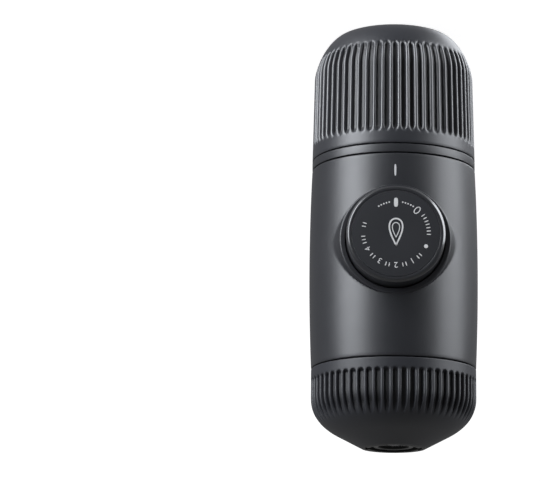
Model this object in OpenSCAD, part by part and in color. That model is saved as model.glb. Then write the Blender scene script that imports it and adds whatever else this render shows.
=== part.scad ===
// Handheld manual espresso maker, standing on the foot of its water tank.
// Millimetres. +Z runs up from the tank to the coffee outlet, the piston cap faces -Y.

/* [Overall] */
// Diameter of the body across its belly
body_d = 62; // [61:0.5:70]
// How far the seams between tank, body and head lie inside the belly
seam_inset = 0.85; // [0.6:0.05:1.2]
// Height of the water tank
tank_h = 48; // [44:0.5:70]
// Height of the trim ring between tank and body
ring_h = 3.5; // [3:0.1:6]
// Height of the smooth body shell
shell_h = 74.5; // [72:0.5:90]
// Height of the outlet head
head_h = 29; // [28.5:0.1:34]
// Open gap of the seams between pieces
seam_gap = 0.35; // [0.3:0.05:0.6]

/* [Water tank] */
// Diameter of the flat foot
foot_d = 39; // [32:0.5:42]
// How far the end of the tank's shoulder lies inside the seams
shoulder_inset = 0.65; // [0.3:0.05:1]
// Height of the tank's rounded shoulder
shoulder_h = 16.4; // [13:0.2:20]
// Roundness of the shoulder, 2 for an ellipse and less for a softer one
shoulder_power = 1.54; // [1.4:0.02:1.8]
// Wall of the tank and of the head, behind their flutes
fluted_wall = 1.6; // [1.3:0.05:1.7]
// Thickness of the tank's floor
tank_floor = 2.6; // [2:0.1:4]

/* [Flutes] */
// Number of flutes round the tank and round the head
flutes = 60; // [48:1:72]
// Depth of the flutes
flute_depth = 1.25; // [0.8:0.05:1.4]
// Width of a tank flute at the seam diameter
tank_flute_w = 1.5; // [1:0.1:1.9]
// Width of a head flute at the seam diameter
head_flute_w = 1.8; // [1:0.1:2]
// Height at which the tank's flutes start
tank_flute_low = 8; // [7:0.2:12]
// Plain band above the tank's flutes
tank_flute_top = 4.3; // [3:0.1:10]
// Plain band below the head's flutes
head_flute_low = 3.6; // [3:0.1:6]
// Plain cone above the head's flutes
head_flute_top = 8.9; // [8:0.1:11]
// Length of a flute's sloping end
flute_runout = 2.6; // [2:0.1:3.5]

/* [Body shell] */
// Wall of the body shell at the seams
shell_wall = 2.2; // [1.8:0.1:2.4]
// Height of the inward lip at the top of the shell
shell_lip_h = 2.2; // [1.5:0.1:3]
// Height of the piston's axis above the bottom of the shell
pump_h = 32.2; // [30:0.2:36]
// How far the face of the collar round the piston cap lies behind the front of the belly
collar_inset = 0.2; // [0:0.05:0.8]
// Width of the collar's front edge
collar_edge = 2; // [1.9:0.1:2.4]
// Straight part of the collar before it flares into the body
collar_straight = 2.3; // [1:0.1:3]
// Radius of the collar's flare
collar_fillet = 12; // [9:0.5:14]
// Thickness of the collar's front lip
collar_lip = 1; // [0.8:0.1:1.5]

/* [Piston cap] */
// Diameter of the piston cap
cap_d = 35.2; // [34:0.2:37]
// How far the cap's face stands out of the belly
cap_stand = 9; // [8.6:0.1:12]
// Wall of the cap's skirt
cap_wall = 2.3; // [2:0.1:2.5]
// How far the skirt's end lies behind the front of the belly
cap_depth = 19; // [18:0.2:20]
// Diameter of the dial let into the cap's face
dial_d = 31.4; // [28:0.2:32]
// Thickness of the dial
dial_t = 1.2; // [0.8:0.1:1.5]
// Thickness of the cap's end behind the dial
cap_end_t = 4.4; // [4:0.1:5]
// Depth of the bevel round the cap's face
cap_bevel = 0.9; // [0.5:0.1:1.2]
// Gap between the cap and what it slides in
cap_gap = 0.4; // [0.3:0.05:0.6]
// How far the piston moves out
stroke = 14; // [10:0.5:14]
// How far the cap turns between locked and unlocked
lock_turn = 40; // [30:1:50]
// Width of a locking lug, in degrees
lug_turn = 14; // [10:1:18]
// Length of a locking lug along the cap
lug_l = 2.4; // [2:0.1:3]
// Wall of the lock sleeve round the cap
sleeve_wall = 0.9; // [0.7:0.05:0.9]

/* [Pump] */
// Bore of the pump barrel
pump_bore = 14; // [12:0.2:14.6]
// Outer diameter of the pump barrel
barrel_d = 19; // [17.6:0.2:19]
// Gap between the pump block and the back of the shell
pump_back_gap = 6.45; // [5.6:0.05:7]
// How far the barrel stands out of its mounting flange
barrel_nose = 3.2; // [3:0.1:4]
// Thickness of the barrel's mounting flange
barrel_flange_t = 2; // [1.6:0.1:2.4]
// Diameter of the piston rod
rod_d = 8; // [6:0.2:9]
// Length of the piston head
piston_l = 8; // [7:0.2:9]
// Wall of the pump block round the barrel
block_wall = 2.9; // [2.4:0.1:3.2]
// Bore of the two water hoses
hose_bore = 4.6; // [4.6:0.2:5]
// Wall of the two water hoses
hose_wall = 1.2; // [0.8:0.1:1.4]
// Thickness of the piston's spring plate
spring_plate_t = 2; // [1.6:0.1:2.4]
// Wire of the return spring
spring_wire = 1.4; // [1:0.1:1.5]
// Turns of the return spring
spring_turns = 7; // [5:0.5:7.5]
// Clearance of the piston seal and the rod in their bores
seal_gap = 0.15; // [0.12:0.01:0.25]

/* [Screw joints] */
// Thickness of the gasket between tank and body
tank_gasket_t = 1.2; // [1:0.1:1.5]
// How far the threaded skirts below and above the body lie inside the seams
skirt_inset = 4.4; // [4.3:0.05:5]
// Wall of the threaded skirts
skirt_wall = 1.95; // [1.6:0.05:2.2]
// Height of a thread ridge
ridge_h = 1.1; // [0.9:0.05:1.2]
// Gap between a ridge's crest and the wall opposite
ridge_gap = 0.35; // [0.3:0.05:0.5]
// Width of a thread ridge at its root
ridge_w = 1.5; // [1.2:0.05:1.6]
// Rise of a thread in one turn
thread_lead = 12; // [11.6:0.1:14]
// Starts of each thread
thread_starts = 3; // [3:1:3]
// Turn that one ridge covers, in degrees
ridge_turn = 135; // [100:5:140]

/* [Brew head] */
// Gap between the rim of the coffee basket and the neck
basket_gap = 2.3; // [1.8:0.1:4]
// Height of the head that the valve and the spout take up
spout_h = 15; // [14.8:0.1:17]
// Thickness of the basket's sheet
basket_t = 0.5; // [0.4:0.05:0.8]
// Width of the basket's rim
basket_rim = 1.5; // [1.2:0.1:1.8]
// Thickness of the group gasket
gasket_t = 1.8; // [1.4:0.1:2]
// Thickness of the shower plate
shower_t = 1.2; // [0.8:0.1:1.4]
// How far the shower plate's edge lies inside the neck
shower_inset = 5.2; // [4.8:0.1:6.2]
// Wall of the basket holder
holder_wall = 2; // [1.6:0.1:2.2]
// Diameter of the outlet where it meets the cone of the head
outlet_d = 20.4; // [19:0.2:22]
// Bore of the outlet nozzle
nozzle_bore = 11.2; // [10.4:0.2:11.6]
// Travel of the pressure valve
valve_travel = 1.2; // [0.8:0.1:1.4]

/* [Hidden] */
$fn = 96;

// Heights of the seams, and the radii that they share
ring_z = tank_h;
shell_z = tank_h + ring_h;
head_z = shell_z + shell_h;
top_z = head_z + head_h;
half_gap = seam_gap / 2;
seam_r = body_d / 2 - seam_inset;
shoulder_r = seam_r - shoulder_inset;
foot_r = foot_d / 2;
shell_r = seam_r - shell_wall;
eps = 0.01;

// ---- outlines, as points [radius, height] ----

// Point at parameter t of the tank's rounded shoulder
function shoulder_point(t) = [
    foot_r + (shoulder_r - foot_r) * pow(sin(t), 2 / shoulder_power),
    shoulder_h * (1 - pow(cos(t), 2 / shoulder_power))
];
shoulder_step = 7.5;
tank_outline = concat(
    [for (t = [0:shoulder_step:90]) shoulder_point(t)],
    [[seam_r, tank_h - half_gap]]
);

// Point at fraction u of a curve from a to c whose tangents meet at b
function bend(a, b, c, u) = (1 - u) * (1 - u) * a + 2 * u * (1 - u) * b + u * u * c;
// Head: a straight wall, a bend that starts and ends this far below the top, and a cone
head_bend_start = 18.3;
head_bend_stop = 4.9;
head_bend_w = 9.5;
head_cone_rise = 0.5275;
head_lip_w = 2.3;
head_lip_h = 0.6;
head_bend_from = head_h - head_bend_start;
head_bend_end = [seam_r - head_bend_w, head_h - head_bend_stop];
head_bend_corner = [seam_r, head_bend_end[1] - (seam_r - head_bend_end[0]) * head_cone_rise];
head_cone_end = [outlet_d / 2 + head_lip_w, head_h - head_lip_h];
head_steps = 9;
head_outline = concat(
    [[seam_r, half_gap]],
    [for (i = [0:head_steps])
        bend([seam_r, head_bend_from], head_bend_corner, head_bend_end, i / head_steps)],
    [head_cone_end, [outlet_d / 2 + 0.2, head_h - 0.1]]
);

// The same outline moved by d to its left, which is inwards on a path that climbs
function inset(path, d) = [
    for (i = [0:len(path) - 1])
        let (
            a = path[max(i - 1, 0)],
            b = path[min(i + 1, len(path) - 1)],
            t = (b - a) / norm(b - a)
        )
        path[i] + d * [-t[1], t[0]]
];

// Radius of an outline at height z
function radius_at(path, z) = lookup(z, [for (p = path) [p[1], p[0]]]);

// ---- shapes that repeat ----

// Width of a flute at its root and outside the shell, as shares of its width at the seam
flute_taper = 0.62;
flute_flare = 1.25;
// How far a flute's sloping end starts outside the shell
flute_lead = 0.35;

// Everything inside a fluted shell's flutes: outside their run it reaches past the shell
module flute_core(path, low, high) {
    inner = inset(path, flute_depth);
    reach = seam_r + 6;
    beyond = 30;
    rotate_extrude()
        polygon(concat(
            [[0, low - beyond], [reach, low - beyond], [reach, low - 4]],
            [[radius_at(path, low) + flute_lead, low]],
            [for (p = inner) if (p[1] > low + flute_runout && p[1] < high - flute_runout) p],
            [[radius_at(inner, high - flute_runout), high - flute_runout]],
            [[radius_at(path, high) + flute_lead, high], [reach, high + 4],
                [reach, high + beyond], [0, high + beyond]]
        ));
}

// A toothed ring whose teeth cut the flutes, narrower towards the axis
module flute_teeth(width, low, high) {
    outer_r = seam_r + 4;
    inner_r = foot_r - 6;
    half_top = asin(width / 2 / seam_r);
    half_root = half_top * flute_taper;
    half_outer = half_top * flute_flare;
    pitch = 360 / flutes;
    translate([0, 0, low])
        linear_extrude(high - low)
            difference() {
                circle(r = outer_r + 2);
                polygon([
                    for (i = [0:flutes - 1])
                        for (corner = [[inner_r, -half_root], [inner_r, half_root],
                            [outer_r, half_outer], [outer_r, pitch - half_outer]])
                            let (a = -90 + i * pitch + corner[1])
                            corner[0] * [cos(a), sin(a)]
                ]);
            }
}

// A solid of revolution under an outline, with its flutes cut
module fluted(path, width, low, high) {
    difference() {
        rotate_extrude()
            polygon(concat([[0, path[0][1]]], path, [[0, path[len(path) - 1][1]]]));
        difference() {
            flute_teeth(width, low - 3, high + 3);
            flute_core(path, low, high);
        }
    }
}

// One swept tube from a list of rings of points
module skin(rings) {
    sides = len(rings[0]);
    last = len(rings) - 1;
    polyhedron(
        points = [for (ring = rings) for (p = ring) p],
        faces = concat(
            [for (i = [0:last - 1]) for (k = [0:sides - 1])
                for (face = [
                    [i * sides + k, i * sides + (k + 1) % sides, (i + 1) * sides + k],
                    [i * sides + (k + 1) % sides, (i + 1) * sides + (k + 1) % sides, (i + 1) * sides + k]
                ]) face],
            [[for (k = [sides - 1:-1:0]) k], [for (k = [0:sides - 1]) last * sides + k]]
        )
    );
}

// Thread ridges on a wall of radius r from height z up, standing out (side 1) or in (side -1)
ridge_step = 7.5;
ridge_sink = 0.4;
ridge_crest = 0.6;
// Turn of all threads, which keeps their corners off the seam line of a cylinder at angle 0
ridge_shift = 3;
module thread(r, z, side, start = 0) {
    crest_w = ridge_w * ridge_crest;
    for (k = [0:thread_starts - 1])
        rotate(ridge_shift + start + k * 360 / thread_starts)
            skin([
                for (a = [0:ridge_step:ridge_turn])
                    let (mid = z + ridge_w / 2 + thread_lead * a / 360)
                    [for (corner = [[-ridge_sink, -ridge_w], [ridge_h, -crest_w],
                        [ridge_h, crest_w], [-ridge_sink, ridge_w]])
                        let (rr = r + side * corner[0], zz = mid + side * corner[1] / 2)
                        [rr * cos(a), rr * sin(a), zz]]
            ]);
}

// A coil spring standing on z = 0, one unbroken tube
coil_rings = 8;
coil_sides = 6;
module coil(mean_r, wire, turns, height) {
    path = [
        for (i = [0:coil_rings * turns])
            let (a = 360 * i / coil_rings)
            [mean_r * cos(a), mean_r * sin(a), wire / 2 + (height - wire) * i / coil_rings / turns]
    ];
    gaps = [
        for (i = [0:len(path) - 1])
            for (j = [i + coil_rings / 2:1:len(path) - 1])
                norm(path[i] - path[j]) - wire
    ];
    echo(least_gap_of_coil = min(gaps));
    skin([
        for (i = [0:len(path) - 1])
            let (a = 360 * i / coil_rings)
            [for (k = [0:coil_sides - 1])
                let (b = 360 * (k + 0.5) / coil_sides, rr = mean_r + wire / 2 * cos(b))
                [rr * cos(a), rr * sin(a), path[i][2] + wire / 2 * sin(b)]]
    ]);
}

// A straight tube standing on z = 0
module tube(outer_r, inner_r, h) {
    difference() {
        cylinder(r = outer_r, h = h);
        translate([0, 0, -1])
            cylinder(r = inner_r, h = h + 2);
    }
}

// Part of a ring standing on z = 0, from one angle to another
module arc_block(outer_r, inner_r, h, from, to) {
    rotate(from)
        rotate_extrude(angle = to - from)
            translate([inner_r, 0])
                square([outer_r - inner_r, h]);
}

// Places its children on the piston's axis: z = 0 is the body's axis, +Z points out of the body
pump_z = shell_z + pump_h;
module on_pump_axis() {
    translate([0, 0, pump_z])
        rotate([90, 0, 0])
            children();
}

// ---- heights and radii that several pieces share ----

fit = 0.1;
play = 0.3;

// Threads: the ridges of a skirt lie midway between the ridges of the wall round it
thread_r = seam_r - skirt_inset;
thread_wall_r = thread_r + ridge_h + ridge_gap;
thread_rise = thread_lead * ridge_turn / 360 + ridge_w;
thread_lead_in = 0.5;
half_start = 180 / thread_starts;
tank_thread_z = tank_h - half_gap - thread_lead_in - thread_rise;
head_thread_z = head_z + half_gap + thread_lead_in;
skirt_inner_r = thread_r - skirt_wall;

// Lower deck of the frame and the gasket and ring below it
tank_gasket_z = tank_h - half_gap + fit;
deck_z = tank_gasket_z + tank_gasket_t + fit;
deck_top_z = shell_z + 2.2;
deck_r = shell_r - 0.35;
deck_step_r = deck_r - 0.7;
gasket_outer_r = seam_r - 1.65;

// Upper deck of the frame and the group above it
lip_z = head_z - half_gap - shell_lip_h;
flange_top_z = lip_z - fit;
flange_t = 2.4;
group_z = head_z + 1.9;
group_t = 3;
gasket_z = group_z + fit / 2;
gasket_top_z = gasket_z + gasket_t;
basket_z = gasket_top_z + play;
rim_t = 0.8;

// Basket holder, between the neck's end and the cone of the head
neck_end_z = head_thread_z + thread_rise + thread_lead_in;
holder_flange_z = neck_end_z + 0.5;
holder_flange_t = 2;
basket_r = skirt_inner_r - basket_rim - basket_gap;
basket_depth = head_h - spout_h;
shower_r = skirt_inner_r - shower_inset;
holder_inner_r = basket_r + 0.4;
holder_outer_r = holder_inner_r + holder_wall;
holder_floor_z = basket_z + basket_depth + 0.5;
holder_floor_t = 2;
valve_z = holder_floor_z + holder_floor_t + fit / 2;

// Along the piston's axis, as distances from the body's axis
cap_r = cap_d / 2;
cap_reach = body_d / 2 + cap_stand;
cap_end = body_d / 2 - cap_depth;
collar_reach = body_d / 2 - collar_inset;
hole_r = cap_r + cap_gap;
sleeve_r = hole_r + fit;
socket_r = sleeve_r + sleeve_wall + fit;
block_front = cap_end - 1.2;
block_back = pump_back_gap - shell_r;
block_back_t = 2;
chamber_l = 7;
flange_front = block_front + barrel_flange_t;
barrel_mouth = flange_front + barrel_nose;
barrel_end = block_back + block_back_t + chamber_l;
barrel_l = barrel_mouth - barrel_end;
barrel_r = barrel_d / 2;
block_r = barrel_r + fit + block_wall;
flange_r = cap_r - cap_wall - cap_gap;
dial_seat = cap_reach - dial_t - fit;
cap_end_seat = dial_seat - cap_end_t;
spring_plate_top = cap_end_seat - play;
spring_plate_seat = spring_plate_top - spring_plate_t;
hub_r = rod_d / 2 + 1;
hub_top = dial_seat - 1.65;
washer_t = 0.6;

// Valve chamber behind the barrel, with a port below and a port above
chamber_mid = barrel_end - chamber_l / 2;
chamber_r = pump_bore / 2;
port_r = 1.2;
spigot_r = hose_bore / 2 - fit;
spigot_l = 3.5;
hose_y = -chamber_mid;
valve_r = 2.5;
valve_l = 3.4;
valve_base_t = 1.2;
valve_lip_t = 1;
air_valve_at = [-13, -9];

// Screws of the barrel's flange, on a circle between the spring and the flange's rim
screw_circle = flange_r - 1.4;
screw_r = 0.9;
screw_l = 2.3;
screw_head_r = 1.25;
screw_head_h = 1;
screw_turns = [30, 150, 270];

// ---- water tank ----

tank_inner = inset(tank_outline, flute_depth + fluted_wall);
tank_mouth_h = 10;

module water_tank() {
    cavity = [for (p = tank_inner) if (p[1] > tank_floor + 0.5 && p[1] < tank_h - tank_mouth_h - 2) p];
    color("#37383b")
        union() {
            difference() {
                fluted(tank_outline, tank_flute_w, tank_flute_low, tank_h - tank_flute_top);
                rotate_extrude()
                    polygon(concat(
                        [[0, tank_floor], [radius_at(tank_inner, tank_floor + 0.5) - 1.5, tank_floor]],
                        cavity,
                        [[thread_wall_r, tank_h - tank_mouth_h], [thread_wall_r, tank_h + 1], [0, tank_h + 1]]
                    ));
            }
            thread(thread_wall_r, tank_thread_z, -1);
        }
}

// Flat ring that seals the tank's rim under the lower deck
module tank_gasket() {
    color("#5a5a5c")
        translate([0, 0, tank_gasket_z])
            tube(gasket_outer_r, thread_r + 0.2, tank_gasket_t);
}

// ---- body ----

// Ring snapped round the lower deck, which holds the shell in place
module trim_ring() {
    low = ring_z + half_gap;
    high = shell_z - half_gap;
    color("#2f3033")
        rotate_extrude()
            polygon([
                [gasket_outer_r + 0.2, low], [seam_r, low], [seam_r, high],
                [deck_step_r + 0.2, high], [deck_step_r + 0.2, deck_z + 0.2], [gasket_outer_r + 0.2, deck_z + 0.2]
            ]);
}

// Radius of the shell at height z above its bottom: a slight barrel
function belly_r(z) =
    let (u = 2 * z / shell_h - 1)
    body_d / 2 - (body_d / 2 - seam_r) * u * u;
belly_steps = 14;

// Collar round the piston cap, flaring down to the body
collar_r = hole_r + collar_edge;
fillet_turn = 50;
fillet_step = 10;
module collar() {
    top = collar_reach - collar_straight;
    rotate_extrude()
        polygon(concat(
            [[0, 10], [0, collar_reach], [collar_r - 0.5, collar_reach], [collar_r, collar_reach - 0.5]],
            [for (a = [0:fillet_step:fillet_turn])
                [collar_r + collar_fillet * (1 - cos(a)), top - collar_fillet * sin(a)]],
            [[collar_r + 1, 10]]
        ));
}

module body_shell() {
    low = shell_z + half_gap;
    high = head_z - half_gap;
    mouth_r = thread_r + ridge_h + 0.5;
    color("#3c3d41")
        difference() {
            union() {
                difference() {
                    union() {
                        rotate_extrude()
                            polygon(concat(
                                [[0, low]],
                                [for (i = [0:belly_steps])
                                    let (z = half_gap + (shell_h - seam_gap) * i / belly_steps)
                                    [belly_r(z), shell_z + z]],
                                [[0, high]]
                            ));
                        on_pump_axis()
                            collar();
                    }
                    translate([0, 0, low - 1])
                        cylinder(r = shell_r, h = lip_z - low + 1);
                    translate([0, 0, lip_z - 1])
                        cylinder(r = mouth_r, h = shell_lip_h + 3);
                }
                on_pump_axis()
                    translate([0, 0, cap_end - 1])
                        cylinder(r = collar_r - fit, h = shell_r - cap_end + 1.5);
            }
            on_pump_axis() {
                cylinder(r = socket_r, h = collar_reach - collar_lip);
                cylinder(r = hole_r, h = collar_reach + 1);
            }
        }
}

// Frame inside the shell, in three pieces that are pressed together: the tank's deck below,
// the pump frame between the decks, and the group above
rib_x = block_r - 2.3;
rib_t = 2;
rib_back = -block_back - 1.5;
rib_front = block_front - 0.3;
rib_low_z = deck_top_z + fit / 2;
flange_z = flange_top_z - flange_t;
flange_base_t = 2.5;
boss_r = 4;

// Both ribs of the frame, from a height up
module ribs(z, h) {
    for (side = [-1, 1])
        translate([side * (rib_x + rib_t / 2) - rib_t / 2, -rib_front, z])
            cube([rib_t, rib_front + rib_back, h]);
}

// Lower deck with the tank's threaded skirt, the inlet spigot and the air valve's seat
module tank_deck() {
    color("#2a2b2e")
        difference() {
            union() {
                translate([0, 0, deck_z])
                    cylinder(r = deck_step_r, h = deck_top_z - deck_z);
                translate([0, 0, shell_z + fit])
                    cylinder(r = deck_r, h = deck_top_z - shell_z - fit);
                translate([0, 0, tank_thread_z - thread_lead_in])
                    cylinder(r = thread_r, h = deck_z - tank_thread_z + thread_lead_in + 1);
                thread(thread_r, tank_thread_z, 1, half_start);
                translate([0, hose_y, deck_top_z - 1])
                    cylinder(r = spigot_r, h = spigot_l + 1);
            }
            translate([0, 0, tank_thread_z - 2])
                cylinder(r = skirt_inner_r, h = deck_z - tank_thread_z + 2);
            translate([0, hose_y, deck_z - 1])
                cylinder(r = port_r, h = deck_top_z + spigot_l + 2 - deck_z);
            translate([air_valve_at[0], air_valve_at[1], deck_z - 1]) {
                cylinder(r = valve_r + fit, h = 1 + valve_base_t);
                cylinder(r = port_r, h = 7);
            }
        }
}

// Pump block between two ribs, with the barrel's seat, the valve chamber and two spigots
module pump_frame() {
    block_low_z = pump_z - block_r - spigot_l;
    color("#2a2b2e")
        difference() {
            union() {
                ribs(rib_low_z, flange_z - fit / 2 - rib_low_z);
                on_pump_axis() {
                    translate([0, 0, block_back])
                        cylinder(r = block_r, h = block_front - block_back);
                    translate([0, 0, block_front - flange_base_t])
                        cylinder(r = flange_r, h = flange_base_t);
                }
                translate([0, hose_y, block_low_z])
                    cylinder(r = spigot_r, h = spigot_l + 2);
                translate([0, hose_y, pump_z + block_r - 2])
                    cylinder(r = spigot_r, h = spigot_l + 2);
            }
            on_pump_axis() {
                translate([0, 0, barrel_end - fit])
                    cylinder(r = barrel_r + fit, h = barrel_l);
                translate([0, 0, barrel_end - chamber_l])
                    cylinder(r = chamber_r, h = chamber_l);
                for (a = screw_turns)
                    rotate(a)
                        translate([screw_circle, 0, block_front - screw_l - 0.7])
                            cylinder(r = screw_r + fit / 2, h = screw_l + 2);
            }
            translate([0, hose_y, block_low_z - 1])
                cylinder(r = port_r, h = 2 * (block_r + spigot_l + 1));
            translate([0, hose_y, pump_z - chamber_r - valve_l])
                cylinder(r = valve_r + fit, h = valve_l + 2);
            translate([0, hose_y, pump_z + chamber_r - 1])
                cylinder(r = valve_r + fit, h = 1 + valve_l);
        }
}

// Upper flange, plate with the water space behind the shower plate, and the threaded neck
module group_plate() {
    plate_z = group_z - group_t;
    color("#2a2b2e")
        difference() {
            union() {
                translate([0, 0, flange_z])
                    cylinder(r = deck_r, h = flange_t);
                translate([0, 0, flange_z])
                    cylinder(r = thread_r, h = neck_end_z - flange_z);
                thread(thread_r, head_thread_z, 1, half_start);
            }
            translate([0, 0, group_z])
                cylinder(r = skirt_inner_r, h = neck_end_z);
            difference() {
                translate([0, 0, flange_z - 1])
                    cylinder(r = skirt_inner_r - 1, h = plate_z - flange_z + 1);
                translate([0, 0, flange_z - 2])
                    cylinder(r = boss_r, h = plate_z);
                translate([0, hose_y, flange_z - 2])
                    cylinder(r = spigot_r, h = plate_z);
                ribs(flange_z - 2, plate_z);
            }
            translate([0, 0, group_z - 1.2])
                tube(shower_r - 1, boss_r, 3);
            translate([0, 0, group_z - 5])
                cylinder(r = 1.5, h = 6);
            translate([0, hose_y, flange_z - 1])
                cylinder(r = port_r, h = group_z - flange_z + 2);
        }
}

// ---- pump ----

o_ring_r = 0.48;
o_ring_places = [3.5, 7.5];

// Steel barrel, flanged to the front of the pump block
module pump_barrel() {
    color("#c4c5c7")
        on_pump_axis()
            difference() {
                union() {
                    translate([0, 0, barrel_end])
                        cylinder(r = barrel_r, h = barrel_l);
                    translate([0, 0, block_front + eps])
                        cylinder(r = flange_r, h = barrel_flange_t - eps);
                }
                translate([0, 0, barrel_end - 1])
                    cylinder(r = pump_bore / 2, h = barrel_l + 2);
                for (at = o_ring_places)
                    translate([0, 0, barrel_end + at - 0.65])
                        tube(barrel_r + 1, barrel_r - 0.9, 1.3);
                for (a = screw_turns)
                    rotate(a)
                        translate([screw_circle, 0, block_front - 1])
                            cylinder(r = screw_r + fit, h = barrel_flange_t + 2);
            }
}

module barrel_o_rings() {
    color("#1c1c1e")
        on_pump_axis()
            for (at = o_ring_places)
                translate([0, 0, barrel_end + at])
                    rotate_extrude()
                        translate([barrel_r - 0.4, 0])
                            circle(r = o_ring_r, $fn = 24);
}

module barrel_screws() {
    color("#a8a9ab")
        on_pump_axis()
            for (a = screw_turns)
                rotate(a)
                    translate([screw_circle, 0, 0]) {
                        translate([0, 0, block_front - screw_l])
                            cylinder(r = screw_r, h = barrel_flange_t + screw_l + eps, $fn = 32);
                        translate([0, 0, flange_front])
                            cylinder(r = screw_head_r, h = screw_head_h, $fn = 32);
                    }
}

// Sleeve in the collar with two windows, in which the cap's lugs slide and turn
window_play = 3;
module lock_sleeve() {
    sleeve_end = cap_end - 0.9;
    sleeve_top = collar_reach - collar_lip - fit;
    window_top = cap_end + lug_l + stroke + play;
    window_side = lug_turn / 2 + window_play;
    color("#8f9093")
        on_pump_axis()
            difference() {
                translate([0, 0, sleeve_end])
                    tube(sleeve_r + sleeve_wall, sleeve_r, sleeve_top - sleeve_end);
                for (turn = [0, 180])
                    translate([0, 0, sleeve_end - 1])
                        arc_block(sleeve_r + 3, sleeve_r - 1, window_top - sleeve_end + 1,
                            turn - window_side, turn + window_side + lock_turn);
            }
}

// Soft hose between two spigots
module hose(z, h) {
    translate([0, hose_y, z])
        tube(hose_bore / 2 + hose_wall, hose_bore / 2, h);
}

module inlet_hose() {
    color("#c9cacc")
        hose(deck_top_z + fit, pump_z - block_r - deck_top_z - 2 * fit - 0.2);
}

module delivery_hose() {
    low = pump_z + block_r + 0.3;
    color("#c9cacc")
        hose(low, group_z - group_t - low - fit);
}

// Duckbill valve standing on z = 0, flow along +Z
module duckbill() {
    difference() {
        union() {
            cylinder(r = valve_r, h = valve_base_t);
            translate([0, 0, valve_base_t - eps])
                cylinder(r1 = 1.8, r2 = 1.2, h = valve_l - valve_base_t - 0.4);
        }
        translate([0, 0, -1])
            cylinder(r = 0.8, h = valve_l - 0.4 - valve_lip_t + 1);
    }
}

module inlet_valve() {
    color("#d8d4c8")
        translate([0, hose_y, pump_z - chamber_r - valve_l + fit / 2])
            duckbill();
}

module delivery_valve() {
    color("#d8d4c8")
        translate([0, hose_y, pump_z + chamber_r + fit])
            duckbill();
}

module air_valve() {
    color("#d8d4c8")
        translate([air_valve_at[0], air_valve_at[1], deck_z + valve_base_t - fit / 2])
            rotate([180, 0, 0])
                duckbill();
}

// Rod, piston head and spring plate, one turned piece
piston_r = pump_bore / 2 - play;
piston_end = barrel_end + 0.5;
seal_at = 2.2;
seal_l = 2;
module piston() {
    color("#c4c5c7")
        on_pump_axis()
            difference() {
                union() {
                    translate([0, 0, piston_end])
                        cylinder(r = piston_r, h = piston_l);
                    translate([0, 0, piston_end])
                        cylinder(r = rod_d / 2, h = spring_plate_top - piston_end);
                    translate([0, 0, spring_plate_seat])
                        cylinder(r = flange_r, h = spring_plate_t);
                    translate([0, 0, spring_plate_seat])
                        cylinder(r = hub_r, h = hub_top - spring_plate_seat);
                }
                translate([0, 0, piston_end + seal_at - fit])
                    tube(piston_r + 1, piston_r - 1.5, seal_l + 2 * fit);
                translate([0, 0, hub_top - 7])
                    cylinder(r = 1.25, h = 8);
            }
}

module piston_seal() {
    color("#1c1c1e")
        on_pump_axis()
            translate([0, 0, piston_end + seal_at])
                tube(pump_bore / 2 - seal_gap, piston_r - 1.4, seal_l);
}

// Bearing for the rod in the barrel's mouth
wear_ring_l = 3;
module wear_ring() {
    color("#e4e2da")
        on_pump_axis()
            translate([0, 0, barrel_mouth - wear_ring_l])
                tube(pump_bore / 2 - fit / 2, rod_d / 2 + seal_gap, wear_ring_l);
}

module return_spring() {
    mean_r = barrel_r + 1.2 + spring_wire / 2;
    color("#b4b5b8")
        on_pump_axis()
            translate([0, 0, flange_front + fit])
                coil(mean_r, spring_wire, spring_turns, spring_plate_seat - flange_front - 2 * fit);
}

// ---- piston cap ----

module piston_cap() {
    cap_inner_r = cap_r - cap_wall;
    dial_seat_r = dial_d / 2 + fit;
    color("#232427")
        on_pump_axis()
            difference() {
                union() {
                    rotate_extrude()
                        polygon([
                            [0, cap_end], [cap_r, cap_end], [cap_r, cap_reach - cap_bevel],
                            [cap_r - cap_bevel / 2, cap_reach - cap_bevel / 4],
                            [cap_r - cap_bevel, cap_reach], [0, cap_reach]
                        ]);
                    for (turn = [0, 180])
                        translate([0, 0, cap_end])
                            arc_block(sleeve_r + sleeve_wall - fit, cap_r - 0.5, lug_l,
                                turn - lug_turn / 2, turn + lug_turn / 2);
                }
                translate([0, 0, cap_end - 1])
                    cylinder(r = cap_inner_r, h = cap_end_seat - cap_end + 1);
                cylinder(r = hub_r + 0.2, h = cap_reach);
                translate([0, 0, hub_top - fit])
                    cylinder(r = hub_r + 2.6, h = cap_reach);
                translate([0, 0, dial_seat])
                    cylinder(r = dial_seat_r, h = 5);
            }
}

// Disc let into the cap's face
module dial() {
    color("#1f2022")
        on_pump_axis()
            translate([0, 0, cap_reach - dial_t])
                cylinder(r = dial_d / 2, h = dial_t);
}

module cap_washer() {
    color("#a8a9ab")
        on_pump_axis()
            translate([0, 0, hub_top + fit / 5])
                tube(hub_r + 2.4, 1.7, washer_t);
}

module cap_screw() {
    head_seat = hub_top + fit / 5 + washer_t;
    color("#a8a9ab")
        on_pump_axis() {
            translate([0, 0, head_seat - 6])
                cylinder(r = 1.2, h = 6 + eps, $fn = 32);
            translate([0, 0, head_seat])
                cylinder(r = 3, h = 0.9);
        }
}

// ---- group and basket ----

// Rings of small holes through a plate: each entry is [circle radius, count]
shower_hole_r = 0.6;
basket_hole_r = 0.4;
retainer_hole_r = 1.1;
module hole_rings(rings, r, z, h) {
    for (ring = rings)
        for (i = [0:ring[1] - 1])
            rotate(360 * i / ring[1])
                translate([ring[0], 0, z])
                    cylinder(r = r, h = h, $fn = 16);
}

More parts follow.
